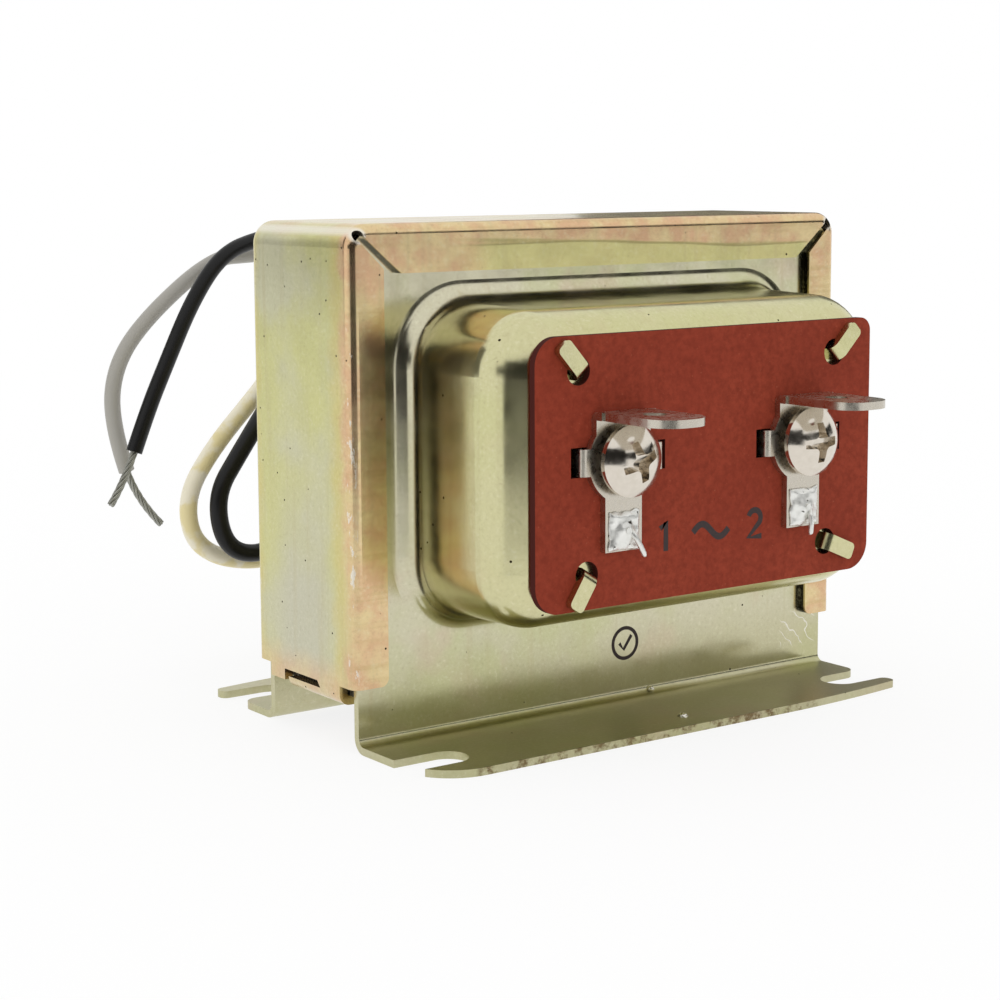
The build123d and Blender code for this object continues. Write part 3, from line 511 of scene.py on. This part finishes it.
def solder_coat(side, number, wire_start, wire_end):
    """A lumpy coat over the tail, thin at its wavy edge, with the wire lying out of it."""
    low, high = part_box(f"solder_{side}")
    middle = (low + high) / 2
    half_wide, thick, half_tall = (high.x - low.x) / 2, high.y - low.y, (high.z - low.z) / 2
    shape = bmesh.new()

    # The coat's front, from the back plane of the solid outward
    grid = []
    for i in range(coat_steps + 1):
        row = []
        for j in range(coat_steps + 1):
            u, v = 2 * i / coat_steps - 1, 2 * j / coat_steps - 1
            seed = Vector((u * coat_lumps_across, v * coat_lumps_across, number * 5.0))
            ragged = 1.0 - coat_ragged * (1 + noise.noise(seed * 1.3)) * max(abs(u), abs(v)) ** 3
            rise = min(1.0, min(1 - abs(u), 1 - abs(v)) / coat_rim) ** 0.5
            dome = coat_thin + coat_dome * exp(-(u * u + v * v) * coat_dome_sharpness)
            dome += coat_lump_height * noise.noise(seed)
            out = thick * rise * min(max(dome, coat_least), coat_most)
            spot = (middle.x + u * half_wide * ragged, high.y - out, middle.z + v * half_tall * ragged)
            row.append(shape.verts.new(spot))
        grid.append(row)
    for i in range(coat_steps):
        for j in range(coat_steps):
            shape.faces.new((grid[i][j], grid[i + 1][j], grid[i + 1][j + 1], grid[i][j + 1]))
    bmesh.ops.contextual_create(shape, geom=[edge for edge in shape.edges if edge.is_boundary])

    # The wire end, tapering to the tip where it was cut
    start, end = middle + Vector(wire_start) * mm, middle + Vector(wire_end) * mm
    along = (end - start).normalized()
    across = along.cross(Vector((0, 1, 0))).normalized()
    other = along.cross(across)
    angles = [2 * pi * k / wire_sides for k in range(wire_sides)]
    rings = []
    for share, size in wire_taper:
        centre = start.lerp(end, share) + Vector((0, -wire_sag * sin(pi * share), 0))
        spokes = [(across * cos(a) + other * sin(a)) * wire_radius * size for a in angles]
        rings.append([shape.verts.new(centre + spoke) for spoke in spokes])
    for first, second in zip(rings, rings[1:]):
        for k in range(wire_sides):
            shape.faces.new((first[k], first[k - 1], second[k - 1], second[k]))
    shape.faces.new(rings[0])
    shape.faces.new(list(reversed(rings[-1])))

    bmesh.ops.recalc_face_normals(shape, faces=shape.faces)
    name = f"solder_coat_{side}"
    coat = add_piece(name, mesh_of(name, shape))
    coat.data.shade_smooth()
    wear(coat, solder)
    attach(coat, root)
    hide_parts(f"solder_{side}")


solder_coat("left", 1, (0.4, -0.1, 0.1), (1.95, -0.55, -2.75))
solder_coat("right", 2, (0.45, -0.1, -0.2), (0.35, -0.4, -2.95))
for side in ("left", "right"):
    wear(parts[f"secondary_end_{side}"], solder)

# Lead bushing: black nylon, moulded and snapped into the rear boss from outside.
# Satin, with a faint grain from the mould.
black_nylon, tree, shader, point = finish("black_moulded_nylon", 0.0, 0.42)
grain = node(tree, "TexNoise", {"Vector": point, "Scale": 2.0, "Detail": 3.0})
dark = node(tree, "Mix", {0: grain, 6: "#121212", 7: "#1E1D1C"}, data_type="RGBA")
tree.links.new(dark.outputs[2], shader.inputs["Base Color"])
wear(parts["lead_bushing"], black_nylon)

# Splices: the joints between the primary winding and the leads, soldered inside the case,
# each under a tube of woven glass that is stiff with varnish. The varnish makes it straw-coloured
# with a soft gloss, and the weave shows through.
sleeving, tree, shader, point = finish("varnished_glass_sleeving", 0.0, 0.5)
woven = {"Vector": point, "Scale": 1.6, "Distortion": 1.0}
weave = node(tree, "TexWave", woven, bands_direction="DIAGONAL")
varnish = node(tree, "Mix", {0: weave, 6: "#C8B888", 7: "#E2D8B4"}, data_type="RGBA")
tree.links.new(varnish.outputs[2], shader.inputs["Base Color"])
for name in ("splice_black", "splice_white"):
    wear(parts[name], sleeving)

# Primary leads: tinned stranded copper in extruded PVC, one black and one white. They are stiff
# enough to keep the bend they were stored in. The white one has yellowed where it lies in the loop.
lead_diameter = 2.1 * mm
white_length = 0.144
black_length = 0.1373
white_route = [
    (-6.0, 26.35, 20.4),
    (-6.0, 31.2, 20.4),
    (-8.6, 35.0, 14.6),
    (-17.6, 35.4, 11.4),
    (-26.8, 35.0, 13.8),
    (-28.5, 34.8, 20.3),
    (-24.3, 35.2, 26.2),
    (-16.5, 37.0, 32.6),
    (-7.2, 42.6, 39.2),
    (2.8, 51.4, 43.8),
    (9.4, 60.0, 46.4),
    (6.6, 66.8, 47.6),
    (-0.4, 67.4, 47.2),
    (-7.0, 66.6, 47.0),
    (-17.1, 66.2, 39.5),
    (-21.9, 66.0, 33.5),
    (-22.7, 66.0, 26.2),
    (-20.6, 66.0, 19.6),
]
black_route = [
    (-6.0, 26.35, 23.6),
    (-6.0, 31.0, 23.6),
    (-9.2, 33.2, 20.8),
    (-14.4, 32.6, 16.2),
    (-19.8, 31.6, 13.2),
    (-25.0, 31.4, 14.6),
    (-26.2, 31.4, 21.0),
    (-22.4, 31.9, 25.9),
    (-17.6, 33.6, 30.9),
    (-9.4, 38.0, 37.6),
    (0.4, 44.2, 43.0),
    (8.4, 51.8, 47.0),
    (10.4, 59.2, 49.6),
    (5.4, 63.4, 50.4),
    (-1.9, 62.8, 49.6),
    (-8.1, 61.8, 47.7),
    (-12.6, 61.8, 41.8),
    (-16.8, 61.8, 33.3),
    (-19.4, 61.8, 27.9),
    (-21.5, 61.8, 22.6),
]
white_tip = (-16.2, 65.2, 12.2)
black_tip = (-25.3, 61.2, 16.1)

# White PVC as extruded: a soft gloss, creamy near the case and greyer toward the stripped end
white_pvc, tree, shader, point = finish("white_pvc", 0.0, 0.4)
axes = node(tree, "SeparateXYZ", {0: point})
near_case = node(tree, "MapRange", {0: axes.outputs["Y"], 1: 48.0, 2: 40.0}, **soft)
ivory = node(tree, "Mix", {0: near_case, 6: "#A3A098", 7: "#E8E1CA"}, data_type="RGBA")
patches = node(tree, "TexNoise", {"Vector": point, "Scale": 0.28, "Detail": 4.0})
low_loop = node(tree, "MapRange", {0: axes.outputs["Z"], 1: 13.5, 2: 11.0, 4: 0.16}, **soft)
likely = node(tree, "Math", {0: patches, 1: low_loop}, operation="ADD")
yellowed = 0.75
for value, start, full in ((axes.outputs["Y"], 48.0, 40.0), (likely, 0.47, 0.6)):
    yellowed = node(tree, "MapRange", {0: value, 1: start, 2: full, 4: yellowed}, **soft)
ivory = node(tree, "Mix", {0: yellowed, 6: ivory, 7: "#DCCC8C"}, data_type="RGBA")
tree.links.new(ivory.outputs[2], shader.inputs["Base Color"])

# Black PVC as extruded: a soft gloss under a trace of dust
black_pvc, tree, shader, point = finish("black_pvc", 0.0, 0.38)
dust = node(tree, "TexNoise", {"Vector": point, "Scale": 0.8, "Detail": 4.0})
dusty = node(tree, "Mix", {0: dust, 6: "#050505", 7: "#0D0D0D"}, data_type="RGBA")
tree.links.new(dusty.outputs[2], shader.inputs["Base Color"])
shader.inputs["Specular IOR Level"].default_value = 0.3

# Thin tin over drawn copper wire: grey, with a half-dull shine that tarnish has made patchy
tinned, tree, shader, point = finish("tinned_copper_strand", 1.0, 0.38)
tarnish = node(tree, "TexNoise", {"Vector": point, "Scale": 1.5, "Detail": 4.0})
tin = node(tree, "Mix", {0: tarnish, 6: "#77776E", 7: "#B4B4AC"}, data_type="RGBA")
tree.links.new(tin.outputs[2], shader.inputs["Base Color"])


def twisted_end(name, start, heading, tip):
    """Seven tinned strands laid up in a helix, following a bend from the insulation to the tip."""
    strand_radius = 0.17 * mm
    lay_radius = 0.32 * mm
    lay_length = 7.0 * mm
    outer_strands = 6
    buried = 0.3 * mm
    bend_reach = 4.0 * mm
    steps = 40
    first, bend = start - heading * buried, start + heading * bend_reach
    shares = [i / (steps - 1) for i in range(steps)]
    line = [first * (1 - t) ** 2 + bend * 2 * t * (1 - t) + tip * t * t for t in shares]
    curve = bpy.data.curves.new(name, "CURVE")
    curve.dimensions = "3D"
    curve.bevel_depth = strand_radius
    curve.bevel_resolution = 3
    curve.use_fill_caps = True
    across = heading.cross(Vector((0, 1, 0))).normalized()
    for strand in range(outer_strands + 1):
        spline = curve.splines.new("POLY")
        spline.points.add(steps - 1)
        gone = 0.0
        for i, centre in enumerate(line):
            along = (line[min(i + 1, steps - 1)] - line[max(i - 1, 0)]).normalized()
            if i:
                gone += (centre - line[i - 1]).length
            side = (across - along * across.dot(along)).normalized()
            other = along.cross(side)
            angle = 2 * pi * (gone / lay_length + strand / outer_strands)
            out = 0.0 if strand == outer_strands else lay_radius
            spot = centre + (side * cos(angle) + other * sin(angle)) * out
            spline.points[i].co = (*spot, 1.0)
    strands = add_piece(name, curve)
    wear(strands, tinned)
    return strands


for name, route, tip, insulation, length in (
    ("white", white_route, white_tip, white_pvc, white_length),
    ("black", black_route, black_tip, black_pvc, black_length),
):
    wear(parts[f"inner_lead_{name}"], insulation)
    curve = bpy.data.curves.new(f"pvc_lead_{name}", "CURVE")
    curve.dimensions = "3D"
    spline = curve.splines.new("NURBS")
    spline.points.add(len(route) - 1)
    for control, place in zip(spline.points, route):
        control.co = (*(Vector(place) * mm), 1.0)
    spline.order_u = 3
    spline.use_endpoint_u = True
    curve.resolution_u = 16
    curve.bevel_depth = lead_diameter / 2
    curve.bevel_resolution = 8
    curve.use_fill_caps = True
    lead = add_piece(f"pvc_lead_{name}", curve)
    wear(lead, insulation)
    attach(lead, root)
    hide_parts(f"lead_{name}")

    last = Vector(route[-1]) * mm
    heading = (last - Vector(route[-2]) * mm).normalized()
    strands = twisted_end(f"tinned_end_{name}", last, heading, Vector(tip) * mm)
    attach(strands, root)
    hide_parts(f"bare_end_{name}")

# Photo table: white paper lit through from below, in a bright tent. Dark cards that only reflections
# see stand for the room over the table's front edge, the camera's side and two gaps in the tent.
bpy.context.scene.view_settings.view_transform = "Standard"
floor_radius = 3.0
shape = bmesh.new()
bmesh.ops.create_circle(shape, cap_ends=True, segments=96, radius=floor_radius)
floor = add_piece("floor", mesh_of("floor", shape))
paper, tree, shader, point = finish("lit_paper", 0.0, 0.9)
shader.inputs["Base Color"].default_value = linear("#FFFFFF")
away = node(tree, "VectorMath", {0: point}, operation="LENGTH").outputs["Value"]
lit_share = node(tree, "MapRange", {0: away, 1: 60.0, 2: 400.0, 3: 0.84, 4: 1.0}, **soft)
glow = node(tree, "Emission", {0: "#FFFFFF", "Strength": 1.0})
lit = node(tree, "MixShader", {0: lit_share, 1: shader, 2: glow})
tree.links.new(lit.outputs[0], tree.nodes["Material Output"].inputs["Surface"])
wear(floor, paper)

world = bpy.data.worlds.new("tent")
bpy.context.scene.world = world
world.use_nodes = True
world.node_tree.nodes["Background"].inputs["Color"].default_value = linear("#FFFFFF")
world.node_tree.nodes["Background"].inputs["Strength"].default_value = 1.0


def dark_card(name, radius, from_azimuth, to_azimuth, from_height, to_height, shade):
    """A curved card round the object that only reflections see. Azimuth 0 is in front."""
    shape = bmesh.new()
    columns = []
    steps = 16
    for i in range(steps + 1):
        azimuth = radians(from_azimuth + (to_azimuth - from_azimuth) * i / steps)
        foot = Vector((sin(azimuth), -cos(azimuth), 0)) * radius
        columns.append([shape.verts.new(foot + Vector((0, 0, h))) for h in (from_height, to_height)])
    for left, right in zip(columns, columns[1:]):
        shape.faces.new((left[0], right[0], right[1], left[1]))
    card = add_piece(name, mesh_of(name, shape))
    card.visible_camera = False
    card.visible_diffuse = False
    card.visible_shadow = False
    card.visible_transmission = False
    felt, _, shader, _ = finish(name + "_felt", 0.0, 1.0)
    shader.inputs["Base Color"].default_value = linear(shade)
    wear(card, felt)


dark_card("camera_side_card", 0.2, -62, -8, 0.002, 0.12, "#12100D")
dark_card("room_card", 0.62, -80, 80, 0.055, 0.2, "#15120D")
dark_card("left_gap_card", 0.9, 212, 236, 0.0, 0.6, "#6A6760")
dark_card("right_gap_card", 0.9, 118, 142, 0.0, 0.6, "#6A6760")

# Camera: at the left front, a little above the top edge, as in the photograph.
# Its place, its turn and its lens were fitted to the case's corners.
camera_place = Vector((-144.94, -190.36, 59.35)) * mm
camera_azimuth = radians(-35.767)
camera_elevation = radians(7.564)
camera_roll = radians(-0.312)
backward = Vector((
    sin(camera_azimuth) * cos(camera_elevation),
    -cos(camera_azimuth) * cos(camera_elevation),
    sin(camera_elevation),
))
level_right = Vector((cos(camera_azimuth), sin(camera_azimuth), 0))
level_up = backward.cross(level_right)
right = level_right * cos(camera_roll) + level_up * sin(camera_roll)
up = level_up * cos(camera_roll) - level_right * sin(camera_roll)
lens = bpy.data.cameras.new("camera")
lens.sensor_width = 36.0
lens.lens = 77.86
lens.shift_y = -0.05
lens.clip_start = 0.01
camera = add_piece("camera", lens)
aim = Matrix((right, up, backward)).transposed().to_4x4()
camera.matrix_world = Matrix.Translation(camera_place) @ aim
bpy.context.scene.camera = camera
